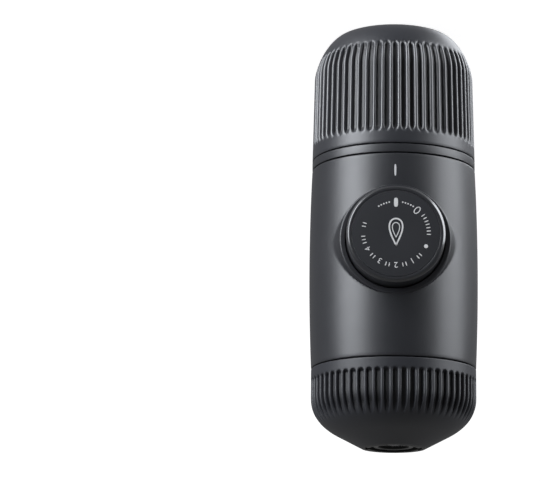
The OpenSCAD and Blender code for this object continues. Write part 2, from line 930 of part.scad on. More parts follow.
shower_z = group_z + fit / 2;
module shower_plate() {
    color("#b9babd")
        translate([0, 0, shower_z])
            difference() {
                cylinder(r = shower_r, h = shower_t);
                translate([0, 0, -1])
                    cylinder(r = 1.6, h = shower_t + 2);
                hole_rings([for (i = [1:3]) [shower_r * (0.08 + 0.24 * i), 6 * i]], shower_hole_r, -1, shower_t + 2);
            }
}

module shower_screw() {
    color("#a8a9ab") {
        translate([0, 0, shower_z - 4.5])
            cylinder(r = 1.4, h = 4.5 + shower_t + eps, $fn = 32);
        translate([0, 0, shower_z + shower_t])
            cylinder(r1 = 3.2, r2 = 2.2, h = 1.2);
    }
}

module group_gasket() {
    color("#5a5a5c")
        translate([0, 0, gasket_z])
            tube(skirt_inner_r - 0.5, shower_r + 0.3, gasket_t);
}

module filter_basket() {
    r = basket_r;
    color("#c4c5c7")
        translate([0, 0, basket_z])
            difference() {
                union() {
                    cylinder(r = r, h = basket_depth);
                    cylinder(r = r + basket_rim, h = rim_t);
                }
                translate([0, 0, -1])
                    cylinder(r = r - basket_t, h = basket_depth + 1 - basket_t);
                hole_rings([for (i = [1:4]) [r * 0.21 * i, 6 * i]], basket_hole_r, basket_depth - 2, 3);
            }
}

// ---- outlet head ----

head_path = [for (p = head_outline) [p[0], head_z + p[1]]];
head_inner = inset(head_path, flute_depth + fluted_wall);
module head_shell() {
    seat_z = holder_flange_z + holder_flange_t + fit;
    hollow = [for (p = head_inner) if (p[1] > seat_z + 2 && p[0] > outlet_d / 2 - 1) p];
    color("#37383b")
        union() {
            difference() {
                fluted(head_path, head_flute_w, head_z + head_flute_low, top_z - head_flute_top);
                rotate_extrude()
                    polygon(concat(
                        [[0, head_z - 1], [thread_wall_r, head_z - 1], [thread_wall_r, seat_z],
                            [thread_wall_r - 1.6, seat_z], [thread_wall_r - 1.6, seat_z + 1.4]],
                        hollow,
                        [[0, hollow[len(hollow) - 1][1]]]
                    ));
                translate([0, 0, top_z - 6])
                    cylinder(r = outlet_d / 2 + fit, h = 8);
            }
            thread(thread_wall_r, head_thread_z, -1);
        }
}

module basket_holder() {
    low = basket_z + rim_t + fit;
    floor_top = holder_floor_z + holder_floor_t;
    color("#2a2b2e")
        difference() {
            union() {
                rotate_extrude()
                    polygon([
                        [0, low], [holder_outer_r, low], [holder_outer_r, holder_floor_z - 0.2],
                        [holder_outer_r - 2.2, floor_top], [0, floor_top]
                    ]);
                translate([0, 0, holder_flange_z])
                    cylinder(r = thread_wall_r - 0.2, h = holder_flange_t);
            }
            translate([0, 0, low - 1])
                cylinder(r = holder_inner_r, h = holder_floor_z - low + 1);
            cylinder(r = 2.2, h = top_z);
        }
}

// Spout with a notched collar, pressed onto the holder's floor
nozzle_r = nozzle_bore / 2;
nozzle_wall = 1.8;
notch_w = 4.5;
module outlet_nozzle() {
    collar_z = top_z - 2.6;
    color("#1a1a1c")
        difference() {
            union() {
                translate([0, 0, valve_z])
                    cylinder(r = nozzle_r + nozzle_wall, h = top_z - 0.6 - valve_z);
                translate([0, 0, collar_z])
                    cylinder(r = outlet_d / 2, h = top_z - collar_z);
            }
            translate([0, 0, valve_z - 1])
                cylinder(r = nozzle_r, h = top_z - valve_z + 2);
            translate([0, 0, top_z - 1.6])
                tube(outlet_d / 2 - 1.2, nozzle_r + nozzle_wall, 3);
            for (a = [0:90:270])
                rotate(a)
                    translate([nozzle_r + nozzle_wall + 0.3, -notch_w / 2, top_z - 0.7])
                        cube([5, notch_w, 2]);
        }
}

seal_t = 0.8;
seal_r = 3.4;
poppet_z = valve_z + seal_t;
poppet_t = 1.2;
spring_z = poppet_z + poppet_t + fit / 2;
retainer_t = 1;
retainer_z = top_z - 2.6;
module valve_seal() {
    color("#7a3b30")
        translate([0, 0, valve_z])
            tube(seal_r, 0.9, seal_t);
}

module pressure_valve() {
    color("#c4c5c7") {
        translate([0, 0, poppet_z])
            cylinder(r = seal_r + 0.2, h = poppet_t);
        translate([0, 0, poppet_z - seal_t - 0.5])
            cylinder(r = 0.85, h = seal_t + 1);
        translate([0, 0, poppet_z])
            cylinder(r = 1.2, h = top_z - 0.6 - valve_travel - poppet_z);
    }
}

module valve_spring() {
    wire = 0.5;
    color("#b4b5b8")
        translate([0, 0, spring_z])
            coil(2.1, wire, 3, retainer_z - spring_z - fit / 2);
}

module spring_retainer() {
    color("#c4c5c7")
        translate([0, 0, retainer_z])
            difference() {
                cylinder(r = nozzle_r - fit / 2, h = retainer_t);
                translate([0, 0, -1])
                    cylinder(r = 1.5, h = retainer_t + 2);
                hole_rings([[nozzle_r - 1.9, 6]], retainer_hole_r, -1, retainer_t + 2);
            }
}

water_tank();
tank_gasket();
trim_ring();
body_shell();
tank_deck();
pump_frame();
group_plate();
pump_barrel();
barrel_o_rings();
barrel_screws();
lock_sleeve();
inlet_hose();
delivery_hose();
inlet_valve();
delivery_valve();
air_valve();
shower_plate();
shower_screw();
group_gasket();
piston();
piston_seal();
wear_ring();
return_spring();
piston_cap();
dial();
cap_washer();
cap_screw();
filter_basket();
head_shell();
basket_holder();
outlet_nozzle();
pressure_valve();
valve_seal();
valve_spring();
spring_retainer();
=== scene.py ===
# Looks of the handheld espresso maker. Metres, +Z from the tank's foot to the coffee
# outlet, the piston cap faces -Y.

import math

import bmesh
import bpy
import numpy as np
from mathutils import Matrix, Vector


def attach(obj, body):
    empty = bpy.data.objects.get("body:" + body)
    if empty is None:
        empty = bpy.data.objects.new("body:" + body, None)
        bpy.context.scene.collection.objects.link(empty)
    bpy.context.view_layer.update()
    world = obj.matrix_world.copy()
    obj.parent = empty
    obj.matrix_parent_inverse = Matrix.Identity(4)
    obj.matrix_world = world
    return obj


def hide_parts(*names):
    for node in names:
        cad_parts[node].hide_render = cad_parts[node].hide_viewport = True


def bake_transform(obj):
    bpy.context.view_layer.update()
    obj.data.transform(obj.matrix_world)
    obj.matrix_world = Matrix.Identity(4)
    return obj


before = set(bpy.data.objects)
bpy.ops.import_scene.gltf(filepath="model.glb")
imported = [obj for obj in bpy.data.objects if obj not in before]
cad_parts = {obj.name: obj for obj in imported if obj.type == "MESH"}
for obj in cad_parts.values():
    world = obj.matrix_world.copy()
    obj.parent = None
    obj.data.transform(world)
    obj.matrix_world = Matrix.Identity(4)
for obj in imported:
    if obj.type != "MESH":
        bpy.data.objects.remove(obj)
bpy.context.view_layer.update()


# ---- Camera ----
# A long lens, a little above the cap, aimed beside the maker. It hangs upside down, so
# that the tank comes out on top.
camera_turn, camera_rise, camera_distance = math.radians(1.3), math.radians(12.69), 0.91826
aim = Vector((0, 0, 0.0774))
away = Vector(
    (
        math.cos(camera_rise) * math.sin(camera_turn),
        -math.cos(camera_rise) * math.cos(camera_turn),
        math.sin(camera_rise),
    )
)
right = -Vector((math.cos(camera_turn), math.sin(camera_turn), 0))
up = away.cross(right)
pan = math.radians(2.85)
side = math.cos(pan) * right - math.sin(pan) * away
back = math.cos(pan) * away + math.sin(pan) * right
lens = bpy.data.cameras.new("camera")
lens.sensor_width = 36
lens.lens = 165.3
camera = bpy.data.objects.new("camera", lens)
bpy.context.scene.collection.objects.link(camera)
camera.matrix_world = Matrix.Translation(aim + camera_distance * away) @ Matrix(
    (side, up, back)
).transposed().to_4x4()
bpy.context.scene.camera = camera
bpy.context.scene.view_settings.view_transform = "Standard"


# ---- Studio ----
# A pale table in a soft white room. Two tall softboxes at the sides give the long highlights,
# and a small one low behind gives the tank's shoulder its sheen. They reach below the table
# top, which neither blocks their light nor shows in the plastic.
class Socket:
    """A value or colour in a node tree. Arithmetic on it adds the nodes that work it out."""

    def __init__(self, tree, link=None):
        self.tree, self.link = tree, link

    def node(self, kind, settings=None, inputs=None, output=0):
        """Adds a node, its settings before its inputs, and gives one of its outputs."""
        made = self.tree.nodes.new("ShaderNode" + kind)
        for key, value in (settings or {}).items():
            setattr(made, key, value)
        for key, value in (inputs or {}).items():
            if isinstance(value, Socket):
                self.tree.links.new(value.link, made.inputs[key])
            else:
                made.inputs[key].default_value = value
        return Socket(self.tree, made.outputs[output] if made.outputs else None)

    def math(self, operation, *values):
        return self.node("Math", {"operation": operation}, dict(enumerate(values)))

    def __add__(self, other):
        return self.math("ADD", self, other)

    def __radd__(self, other):
        return self.math("ADD", other, self)

    def __sub__(self, other):
        return self.math("SUBTRACT", self, other)

    def __rsub__(self, other):
        return self.math("SUBTRACT", other, self)

    def __mul__(self, other):
        return self.math("MULTIPLY", self, other)

    def __rmul__(self, other):
        return self.math("MULTIPLY", other, self)

    def step(self, low, high):
        """0 below low, 1 above high, smooth between."""
        return self.node(
            "MapRange",
            {"interpolation_type": "SMOOTHSTEP"},
            {"Value": self, "From Min": low, "From Max": high},
        )


room = bpy.data.worlds.new("room")
bpy.context.scene.world = room
room.use_nodes = True
room.node_tree.nodes.clear()
air = Socket(room.node_tree)
seen = air.node("LightPath", output="Is Camera Ray")
mirrored = air.math(
    "MAXIMUM",
    air.node("LightPath", output="Is Glossy Ray"),
    air.node("LightPath", output="Is Transmission Ray"),
)
toward = air.node("TexCoord", output="Generated")
depth = air.node("SeparateXYZ", inputs={0: toward}, output="Y")
rise = air.math("ABSOLUTE", air.node("SeparateXYZ", inputs={0: toward}, output="Z"))
near_light, far_light, ceiling_light, soft_light = 0.06, 0.25, 0.13, 0.22
walls = near_light + (far_light - near_light) * depth.step(-0.25, 0.45)
ceiling = ceiling_light * rise.step(0.35, 0.9)
shown = mirrored * (walls + ceiling) + (1 - mirrored) * soft_light
brightness = seen + (1 - seen) * shown
glow = air.node("Background", inputs={"Color": (1, 1, 1, 1), "Strength": brightness})
air.node("OutputWorld", inputs={"Surface": glow})


def softbox(name, turn, height, size, watts, reach=1.2, aim_height=0.09):
    """A lamp at an angle from the camera's side and a reach away, which faces the maker."""
    lamp = bpy.data.lights.new(name, "AREA")
    lamp.shape = "RECTANGLE"
    lamp.size, lamp.size_y = size
    lamp.energy = watts
    lamp.color = (0.92, 0.95, 1)
    box = bpy.data.objects.new(name, lamp)
    bpy.context.scene.collection.objects.link(box)
    place = Vector((reach * math.sin(turn), -reach * math.cos(turn), height))
    facing = (place - Vector((0, 0, aim_height))).to_track_quat("Z", "Y")
    box.matrix_world = Matrix.Translation(place) @ facing.to_matrix().to_4x4()
    box.visible_camera = False


softbox("strong_softbox", math.radians(59.5), -0.52, (0.9, 1.25), 36)
softbox("weak_softbox", math.radians(-84), -0.5, (1.05, 1.2), 23.5)
softbox("back_softbox", math.radians(-143), -0.75, (0.8, 0.7), 7)


def blank(name):
    """A new material with nothing in it, a socket of its tree, and its Object coordinates."""
    made = bpy.data.materials.new(name)
    made.use_nodes = True
    made.node_tree.nodes.clear()
    at = Socket(made.node_tree)
    return made, at, at.node("TexCoord", output="Object")


table_half, below_foot = 8, -0.0001
ground = bpy.data.meshes.new("ground")
ground.from_pydata(
    [(table_half * x, table_half * y, below_foot) for x, y in ((-1, -1), (1, -1), (1, 1), (-1, 1))],
    [],
    [(0, 1, 2, 3)],
)
ground_finish, table, spot = blank("ground")
sideways = table.node("SeparateXYZ", inputs={0: spot}, output="X")
backward = table.node("SeparateXYZ", inputs={0: spot}, output="Y")
out = table.math("SQRT", sideways * sideways + backward * backward)
mirror = table.math(
    "MAXIMUM",
    table.node("LightPath", output="Is Glossy Ray"),
    table.node("LightPath", output="Is Transmission Ray"),
)
bright = 0.92 + 0.08 * out.step(0.1, 0.6)
shows = table.node("LightPath", output="Is Camera Ray") * bright + 0.03 * mirror
paper = table.node("BsdfDiffuse", inputs={"Color": 0.55 - 0.42 * mirror})
white = table.node("Emission", inputs={"Color": (1, 1, 1, 1), "Strength": shows})
top = table.node("AddShader", inputs={0: paper, 1: white})
under = table.node("BsdfTransparent")
faces_down = table.node("NewGeometry", output="Backfacing")
sheet = table.node("MixShader", inputs={0: faces_down, 1: top, 2: under})
table.node("OutputMaterial", inputs={"Surface": sheet})
ground.materials.append(ground_finish)
floor = bpy.data.objects.new("ground", ground)
bpy.context.scene.collection.objects.link(floor)
floor.visible_shadow = False
floor.visible_glossy = False


# ---- Water tank ----
# A deep cup of satin plastic, moulded in one piece with sixty flutes round it and a screw
# thread in its mouth. The maker stands on its flat foot.
mm = 0.001


def resample(path, count, *closer):
    """Points along a path, evenly spaced in its length times a density.

    The density is 1 plus, for each (middle, width, more) in closer, a bell that sets the
    points closer round that height, more exp(-((height - middle) / width)^2).
    """
    height = (path[1:, 1] + path[:-1, 1]) / 2
    density = 1
    for middle, width, more in closer:
        density = density + more * np.exp(-(((height - middle) / width) ** 2))
    length = np.linalg.norm(np.diff(path, axis=0), axis=1) * density
    run = np.concatenate([[0], np.cumsum(length)])
    at = np.linspace(0, run[-1], count)
    return np.stack([np.interp(at, run, path[:, k]) for k in range(path.shape[1])], axis=1)


def inward(path):
    """Unit normals of a path of [radius, height], to its left: inwards where it climbs."""
    along = np.gradient(path, axis=0)
    along /= np.linalg.norm(along, axis=1, keepdims=True)
    return np.stack([-along[:, 1], along[:, 0]], axis=1)


def spun(radius, turn, height):
    """Points at a radius and height, turned from -Y towards +X."""
    return np.stack(
        np.broadcast_arrays(radius * np.sin(turn), -radius * np.cos(turn), height), axis=-1
    )


def quads(first, rows, columns):
    """Faces of a closed grid of points that are numbered row by row from first."""
    row, column = np.meshgrid(np.arange(rows - 1), np.arange(columns), indexing="ij")
    here = first + row * columns + column
    beside = first + row * columns + (column + 1) % columns
    return np.stack([here, beside, beside + columns, here + columns], axis=-1).reshape(-1, 4)


def solid(name, points, faces, crease=35, shade_and_wear=None):
    """A closed mesh from points in mm and blocks of faces.

    Doubles are merged, the faces are turned outward, and edges under the crease angle are
    shaded smooth. A value can be given for each point, kept as an attribute, which carries
    painted shade for flutes and wear for raised parts.
    """
    mesh = bpy.data.meshes.new(name)
    mesh.from_pydata(
        (np.asarray(points).reshape(-1, 3) * mm).tolist(),
        [],
        [face for block in faces for face in np.asarray(block).tolist()],
    )
    if shade_and_wear is not None:
        mesh.attributes.new("shade_and_wear", "FLOAT", "POINT").data.foreach_set(
            "value", np.asarray(shade_and_wear, np.float32).ravel()
        )
    work = bmesh.new()
    work.from_mesh(mesh)
    bmesh.ops.remove_doubles(work, verts=work.verts, dist=2e-7)
    bmesh.ops.recalc_face_normals(work, faces=work.faces)
    work.to_mesh(mesh)
    work.free()
    mesh.shade_smooth()
    mesh.set_sharp_from_angle(angle=math.radians(crease))
    piece = bpy.data.objects.new(name, mesh)
    bpy.context.scene.collection.objects.link(piece)
    return piece


def finish(piece, material, slot, body, *nodes):
    """Gives a piece its material, its body, and the nodes that it stands for. slot is not used."""
    piece.data.materials.append(material)
    if body:
        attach(piece, body)
    if nodes:
        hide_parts(*nodes)


flutes = 60
flute_steps = 12
outer_columns = flutes * (flute_steps + 2)
inner_columns = 168
flute_depth = 1.25
half_pitch = 180 / flutes
plain_share = 0.97


def fluted_wall(path, rib, depth, crown):
    """A wall with ribs between steep-sided flutes, as rows of points and how worn each is.

    Over a rib, the angle is its half width times a = sin t, and its height above the flute
    is depth times (1 - crown a^2) (1 - a^6), a dome between steep sides. rib is its share
    of the pitch, and depth and rib follow the rows. The second result is 0 in the flutes, a
    half on plain bands and 1 on the ribs; plastic() paints the flutes darker from it as
    painted shade and rubs the ribs from it as wear.
    """
    t = np.radians(np.linspace(-90, 90, flute_steps + 1))
    across = np.concatenate([np.sin(t), [1]])
    lift = (1 - crown * across**2) * (1 - across**6)
    across[-1] = 0
    pitch = 2 * math.pi / flutes
    angle = rib[:, None] * across[None] * pitch / 2
    angle[:, -1] = pitch / 2
    middle = (np.arange(flutes)[None, :, None] + 0.5) * pitch
    turn = (angle[:, None, :] + middle).reshape(len(path), -1)
    sink = np.tile(depth[:, None] * (1 - lift)[None], (1, flutes))
    normal = inward(path)
    radius = path[:, :1] + normal[:, :1] * sink
    height = path[:, 1:] + normal[:, 1:] * sink
    raised = np.tile(depth[:, None] / flute_depth * lift, (1, flutes))
    # the flutes' low values become painted shade, the ribs' high values their wear
    return spun(radius, turn, height), 0.5 * (1 - sink / flute_depth) + 0.5 * raised


def bridge(outer, inner):
    """Faces from the outer wall's ring of points to the inner's, which has fewer."""
    few = np.arange(inner_columns)
    share = outer_columns // inner_columns
    many = [outer + (few * share + k) % outer_columns for k in range(share + 1)]
    return np.stack(many + [inner + (few + 1) % inner_columns, inner + few], axis=1)


def thread(radius, low):
    """The three ridges of a screw thread, inwards from a wall of the given radius.

    Each climbs lead / 2 pi times its turn, over 135 degrees, and its section is scaled by
    the square root of the distance to the nearer end, up to a limit.
    """
    starts, lead, half_height = 3, 12, 0.75
    first_start, run_out = math.radians(93), 0.12
    turn = np.radians(np.linspace(0, 135, 46))
    swell = np.clip(np.minimum(turn, turn[-1] - turn) / run_out, 0.02, 1) ** 0.5
    lower_half = [(-0.4, -half_height), (0.85, -0.52), (1.1, -0.3)]
    section = np.array(lower_half + [(reach, -rise) for reach, rise in lower_half[::-1]])
    corners = np.arange(len(section))
    climb = low + half_height + lead * turn[:, None] / (2 * math.pi)
    blocks, points = [], []
    for k in range(starts):
        first = len(section) * len(turn) * k
        reach = radius - section[None, :, 0] * swell[:, None]
        height = climb + section[None, :, 1] * swell[:, None]
        round_to = turn[:, None] + first_start + k * 2 * math.pi / starts
        points.append(spun(reach, round_to, height).reshape(-1, 3))
        blocks.append(quads(first, len(turn), len(section)))
        blocks.append(first + corners[None])
        blocks.append(first + len(section) * (len(turn) - 1) + corners[None])
    return np.concatenate(points), blocks


def plastic(name, tint, roughness=0.42, grain=0.35, shade_and_wear=None, specular=0.7):
    """Satin moulded plastic with a fine pebbled grain.

    Handling has made broad patches of it a little duller or shinier. Given a coat roughness
    for rubbed parts, it reads a value from the mesh: where that falls from a half to 0, in
    the flutes, the colour is painted darker, from 1.4 to 0.6 times the tint, as painted
    shade. Raised parts, where the value is above a half, are rubbed to a coat of that
    roughness.
    """
    made, at, where = blank(name)
    broad = at.node(
        "TexNoise", inputs={"Vector": where, "Scale": 38, "Detail": 4, "Roughness": 0.6}
    )
    fine = at.node(
        "TexNoise", inputs={"Vector": where, "Scale": 2600, "Detail": 2, "Roughness": 0.7}
    )
    pebble = at.node(
        "TexVoronoi",
        {"feature": "SMOOTH_F1"},
        {"Vector": where, "Scale": 2100, "Smoothness": 0.6},
    )
    shade = 1 + 0.14 * (broad - 0.5) + 0.3 * (fine - 0.5)
    dull = roughness + 0.16 * (broad - 0.5) + 0.1 * (fine - 0.5)
    if shade_and_wear:
        flute_shade_and_rub = at.node("Attribute", {"attribute_name": "shade_and_wear"}, output="Fac")
        # painted shade: the colour drops to 0.6 times the tint in the flutes, against 1.4 times
        # elsewhere
        shade = shade * (0.6 + 0.8 * at.math("MINIMUM", 2 * flute_shade_and_rub, 1))
        dull = dull + 0.05 - 0.1 * flute_shade_and_rub
    colour = at.node("VectorMath", {"operation": "SCALE"}, {0: tint, "Scale": shade})
    bump = at.node(
        "Bump", inputs={"Strength": grain, "Distance": 0.00004, "Height": 0.6 * pebble + 0.4 * fine}
    )
    look = {"Base Color": colour, "Roughness": dull, "Normal": bump, "Specular IOR Level": specular}
    if shade_and_wear:
        polish = 0.9 * at.math("MAXIMUM", 2 * flute_shade_and_rub - 1, 0)
        look |= {"Coat Weight": polish, "Coat Roughness": shade_and_wear}
    at.node("OutputMaterial", inputs={"Surface": at.node("BsdfPrincipled", inputs=look)})
    return made


def ramp(height, low, high):
    """0 at low, 1 at high, smooth between, whichever is the higher."""
    t = np.clip((height - low) / (high - low), 0, 1)
    return t * t * (3 - 2 * t)


tank_rim = 47.825
seam_radius = 30.15
thread_radius = 27.2
wall = 2.85
foot_radius, shoulder_radius, shoulder_top, fullness = 19.5, 29.5, 16.4, 1.54
t = np.radians(np.linspace(0, 90, 200))
shoulder = np.stack(
    [
        foot_radius + (shoulder_radius - foot_radius) * np.sin(t) ** (2 / fullness),
        shoulder_top * (1 - np.cos(t) ** (2 / fullness)),
    ],
    axis=1,
)
climb = np.linspace(shoulder_top, tank_rim, 400)[1:]
taper = (seam_radius - shoulder_radius) * (climb - shoulder_top) / (tank_rim - shoulder_top)
tank_path = np.concatenate(
    [[(17, 0), (18.2, 0)], shoulder, np.stack([shoulder_radius + taper, climb], axis=1)]
)
tank_outer = resample(tank_path[:-3], 76, (9, 1.7, 2.4), (42, 1.9, 2.6))
height = tank_outer[:, 1]
low_end, high_end = (7.9, 10.4), (43.8, 40.6)
open_flute = ramp(height, *low_end) * ramp(height, *high_end)
tank_edge = [(seam_radius - 0.01, 47.6), (30.07, 47.76), (29.9, tank_rim)]
tank_outer = np.concatenate([tank_outer, tank_edge])
open_flute = np.concatenate([open_flute, np.zeros(3)])
# The flute floors' values give painted shade, darker flutes, and the ribs' values their wear.
tank_points, tank_shade_and_wear = fluted_wall(
    tank_outer, plain_share - 0.305 * open_flute**0.6, flute_depth * open_flute, crown=0.7
)
thread_end, step_low, floor_top = 38, 36.2, 2.6
inner_path = tank_path + wall * inward(tank_path)
inner_path = inner_path[(inner_path[:, 1] < 36) & (inner_path[:, 1] > 3.2)]
top_radius, floor_radius = inner_path[-1][0], inner_path[0][0]
tank_inner = np.concatenate(
    [
        [(thread_radius, tank_rim), (thread_radius, thread_end), (top_radius, step_low)],
        resample(inner_path[::-1], 14),
        [(floor_radius - 0.5, 2.75), (floor_radius - 1.5, floor_top)],
    ]
)
flute_half = 0.335 * half_pitch
around = np.radians(np.arange(inner_columns) * 360 / inner_columns + flute_half)
inner_points = spun(tank_inner[:, :1], around[None], tank_inner[:, 1:])
outer_count = len(tank_outer) * outer_columns
inner_count = len(tank_inner) * inner_columns
last_ring = outer_count - outer_columns
ridge_points, ridge_faces = thread(thread_radius, 41.325)
water_tank = solid(
    "fluted_tank",
    np.concatenate([tank_points.reshape(-1, 3), inner_points.reshape(-1, 3), ridge_points]),
    [
        quads(0, len(tank_outer), outer_columns),
        quads(outer_count, len(tank_inner), inner_columns),
        bridge(last_ring, outer_count),
        np.arange(outer_columns)[None],
        outer_count + inner_count - 1 - np.arange(inner_columns)[None],
    ]
    + [outer_count + inner_count + block for block in ridge_faces],
    shade_and_wear=np.concatenate([tank_shade_and_wear.ravel(), np.full(inner_count + len(ridge_points), 0.3)]),
)
anthracite = plastic("fluted_anthracite", (0.0122, 0.013, 0.0162), shade_and_wear=0.4)
finish(water_tank, anthracite, "fluted_plastic", "tank", "water_tank")


# ---- Tank gasket ----
# A flat silicone ring that the tank's rim presses against the deck. It only rises with
# the body and doesn't turn with it.
def rounded(outline, radii, steps=4):
    """A closed outline with its corners rounded.

    Each corner p becomes the curve (1 - t)^2 a + 2t (1 - t) p + t^2 b, where a and b lie a
    radius before and after it.
    """
    corner = np.asarray(outline, float)
    before, after = np.roll(corner, 1, axis=0) - corner, np.roll(corner, -1, axis=0) - corner
    reach = np.broadcast_to(np.asarray(radii, float), len(corner))[:, None]
    a = corner + before / np.linalg.norm(before, axis=1, keepdims=True) * reach
    b = corner + after / np.linalg.norm(after, axis=1, keepdims=True) * reach
    t = np.linspace(0, 1, steps + 1)[None, :, None]
    curve = (1 - t) ** 2 * a[:, None] + 2 * t * (1 - t) * corner[:, None] + t**2 * b[:, None]
    return curve.reshape(-1, 2)


def band(last, first):
    """Faces from one ring of points to another of as many, by their numbers."""
    return np.stack([last, np.roll(last, -1), np.roll(first, -1), first], axis=1)


def turned(outline, columns=inner_columns):
    """A closed outline of [radius, height] swept once round the upright axis, with its faces."""
    around = np.linspace(0, 2 * math.pi, columns, endpoint=False)
    points = spun(outline[:, :1], around[None], outline[:, 1:])
    first = np.arange(columns)
    last = (len(outline) - 1) * columns + first
    return points.reshape(-1, 3), [quads(0, len(outline), columns), band(last, first)]


def rubber(name, tint, roughness=0.55, bloom=0.12):
    """Soft silicone or rubber: nearly matt, with a faint bloom in patches and fine specks."""
    made, at, where = blank(name)
    patch = at.node("TexNoise", inputs={"Vector": where, "Scale": 90, "Detail": 3})
    speck = at.node("TexNoise", inputs={"Vector": where, "Scale": 1800, "Detail": 2})
    shade = 1 + 2 * bloom * (patch - 0.5) + 0.2 * (speck - 0.5)
    colour = at.node("VectorMath", {"operation": "SCALE"}, {0: tint, "Scale": shade})
    dull = roughness + 0.2 * (patch - 0.5)
    bump = at.node("Bump", inputs={"Strength": 0.25, "Distance": 0.00003, "Height": speck})
    surface = at.node(
        "BsdfPrincipled", inputs={"Base Color": colour, "Roughness": dull, "Normal": bump}
    )
    at.node("OutputMaterial", inputs={"Surface": surface})
    return made


grey_silicone = rubber("grey_silicone", (0.1, 0.1, 0.105))
gasket_outline = rounded([(25.95, 47.925), (28.5, 47.925), (28.5, 49.125), (25.95, 49.125)], 0.3)
seal_ring = solid("tank_seal_ring", *turned(gasket_outline))
finish(seal_ring, grey_silicone, "grey_silicone", "tank_seal", "tank_gasket")


# ---- Trim ring ----
# A plain ring of the same plastic, snapped round the deck below the shell. Fine shadow
# gaps part it from the tank and from the shell.
ring_outline = rounded(
    [
        (28.7, 48.175), (seam_radius, 48.175), (seam_radius, 51.325),
        (27.1, 51.325), (27.1, 49.425), (28.7, 49.425),
    ],
    [0.1, 0.28, 0.28, 0.1, 0.1, 0.1],
)
smooth_anthracite = plastic("smooth_anthracite", (0.0122, 0.013, 0.0162))
trim_ring = solid("plain_trim_ring", *turned(ring_outline, 240), crease=50)
finish(trim_ring, smooth_anthracite, "ring_plastic", "main", "trim_ring")


# ---- Body shell ----
# The smooth barrel of the body, moulded with the collar that the piston cap slides in.
# The collar's mouth is nearly level with the belly in front and flares out at the sides.
pump_height = 83.7
columns = 240
window_half, window_low, window_high = 44, pump_height - 28, pump_height + 28
window_rows = 70
belly_low, belly_length, belly_radius, belly_fall = 51.5, 74.5, 31, 0.85
shell_bore = 27.95
collar_radius, collar_face = 20.0, 30.8


def belly(height):
    """Radius of the belly: its widest, less its fall times u^2, where u is 1 at the seams."""
    return belly_radius - belly_fall * (2 * (height - belly_low) / belly_length - 1) ** 2


def on_pump(points):
    """Turns points [across, up, out] about the pump's axis into their place in the maker."""
    across, rise, reach = np.moveaxis(np.asarray(points, float), -1, 0)
    return np.stack([across, -reach, pump_height + rise], axis=-1)


def blended_max(a, b, width):
    """The larger of a and b, rounded where they cross.

    It is b + (a - b) h + width h (1 - h), with h = 1/2 + (a - b) / (2 width).
    """
    h = np.clip(0.5 + 0.5 * (a - b) / width, 0, 1)
    return b + (a - b) * h + width * h * (1 - h)


in_window = np.linspace(window_low, window_high, window_rows)
rows_below, rows_above = 5, 13
outer_heights = np.concatenate(
    [
        np.linspace(52.1, window_low, rows_below + 1)[:-1],
        in_window,
        np.linspace(window_high, 125.4, rows_above + 1)[1:],
    ]
)
outer_wall = np.concatenate(
    [
        [(29.6, 51.675), (29.95, 51.72), (30.12, 51.87)],
        np.stack([belly(outer_heights), outer_heights], axis=1),
        [(30.12, 125.63), (29.95, 125.78), (29.6, 125.825)],
    ]
)
inner_wall = np.concatenate(
    [
        [(27.35, 125.825), (27.35, 123.625), (shell_bore, 123.625)],
        np.stack([np.full(window_rows, shell_bore), in_window[::-1]], axis=1),
        [(shell_bore, 51.675)],
    ]
)
shell_profile = np.concatenate([outer_wall, inner_wall])
around = np.radians(np.arange(columns) * 360 / columns - 180)
shell_points = spun(shell_profile[:, :1], around[None], shell_profile[:, 1:]).reshape(-1, 3)
first_ring = np.arange(columns)
last_ring = (len(shell_profile) - 1) * columns + first_ring
shell_faces = quads(0, len(shell_profile), columns)
row, column = shell_faces[:, 0] // columns, shell_faces[:, 0] % columns
edge_rows = 3
outer_low = edge_rows + rows_below
inner_low = len(outer_wall) + edge_rows
cut_columns = (column >= columns // 2 - window_half) & (column < columns // 2 + window_half)
cut_rows = ((row >= outer_low) & (row < outer_low + window_rows - 1)) | (
    (row >= inner_low) & (row < inner_low + window_rows - 1)
)
shell_faces = np.concatenate([shell_faces[~(cut_columns & cut_rows)], band(last_ring, first_ring)])

# round the window, from its lower left corner along the bottom, up, back and down
across = np.arange(-window_half, window_half + 1)
upward = np.arange(window_rows)
right_side = np.full(window_rows - 1, window_half)
top_side = np.full(len(across) - 1, window_rows - 1)
loop_column = columns // 2 + np.concatenate([across[:-1], right_side, across[:0:-1], -right_side])
loop_row = np.concatenate([0 * top_side, upward[:-1], top_side, upward[:0:-1]])
outer_loop = (outer_low + loop_row) * columns + loop_column
inner_loop = (inner_low + window_rows - 1 - loop_row) * columns + loop_column
edge_turn, edge_height = around[loop_column], in_window[loop_row]
bearing = np.arctan2(belly_radius * edge_turn, edge_height - pump_height)[None, :]


def wrapped(radius, turn, height):
    """Points on an upright cylinder or barrel as [across, up, out] about the pump's axis."""
    return np.stack(
        [radius * np.sin(turn), height - pump_height + 0 * turn, radius * np.cos(turn)], axis=-1
    )


def morph(edge, ring, radius, rows):
    """Rows between the window's edge and a ring on the same wall, even in turn and height."""
    t = np.linspace(0, 1, rows + 2)[1:-1, None]
    turn = edge[0][None] * (1 - t) + ring[0] * t
    height = edge[1][None] * (1 - t) + ring[1] * t
    return wrapped(radius(height), turn, height)


def section_rows(distance, reach, count):
    """Rows at even steps along each column's curve of distance from the pump's axis and reach."""
    length = np.hypot(np.diff(distance, axis=0), np.diff(reach, axis=0))
    run = np.concatenate([np.zeros((1, length.shape[1])), np.cumsum(length, axis=0)])
    at = np.linspace(0, 1, count)[:, None] * run[-1]
    curves = [
        [np.interp(at[:, k], run[:, k], values[:, k]) for k in range(length.shape[1])]
        for values in (distance, reach)
    ]
    return np.transpose(curves, (2, 1, 0))


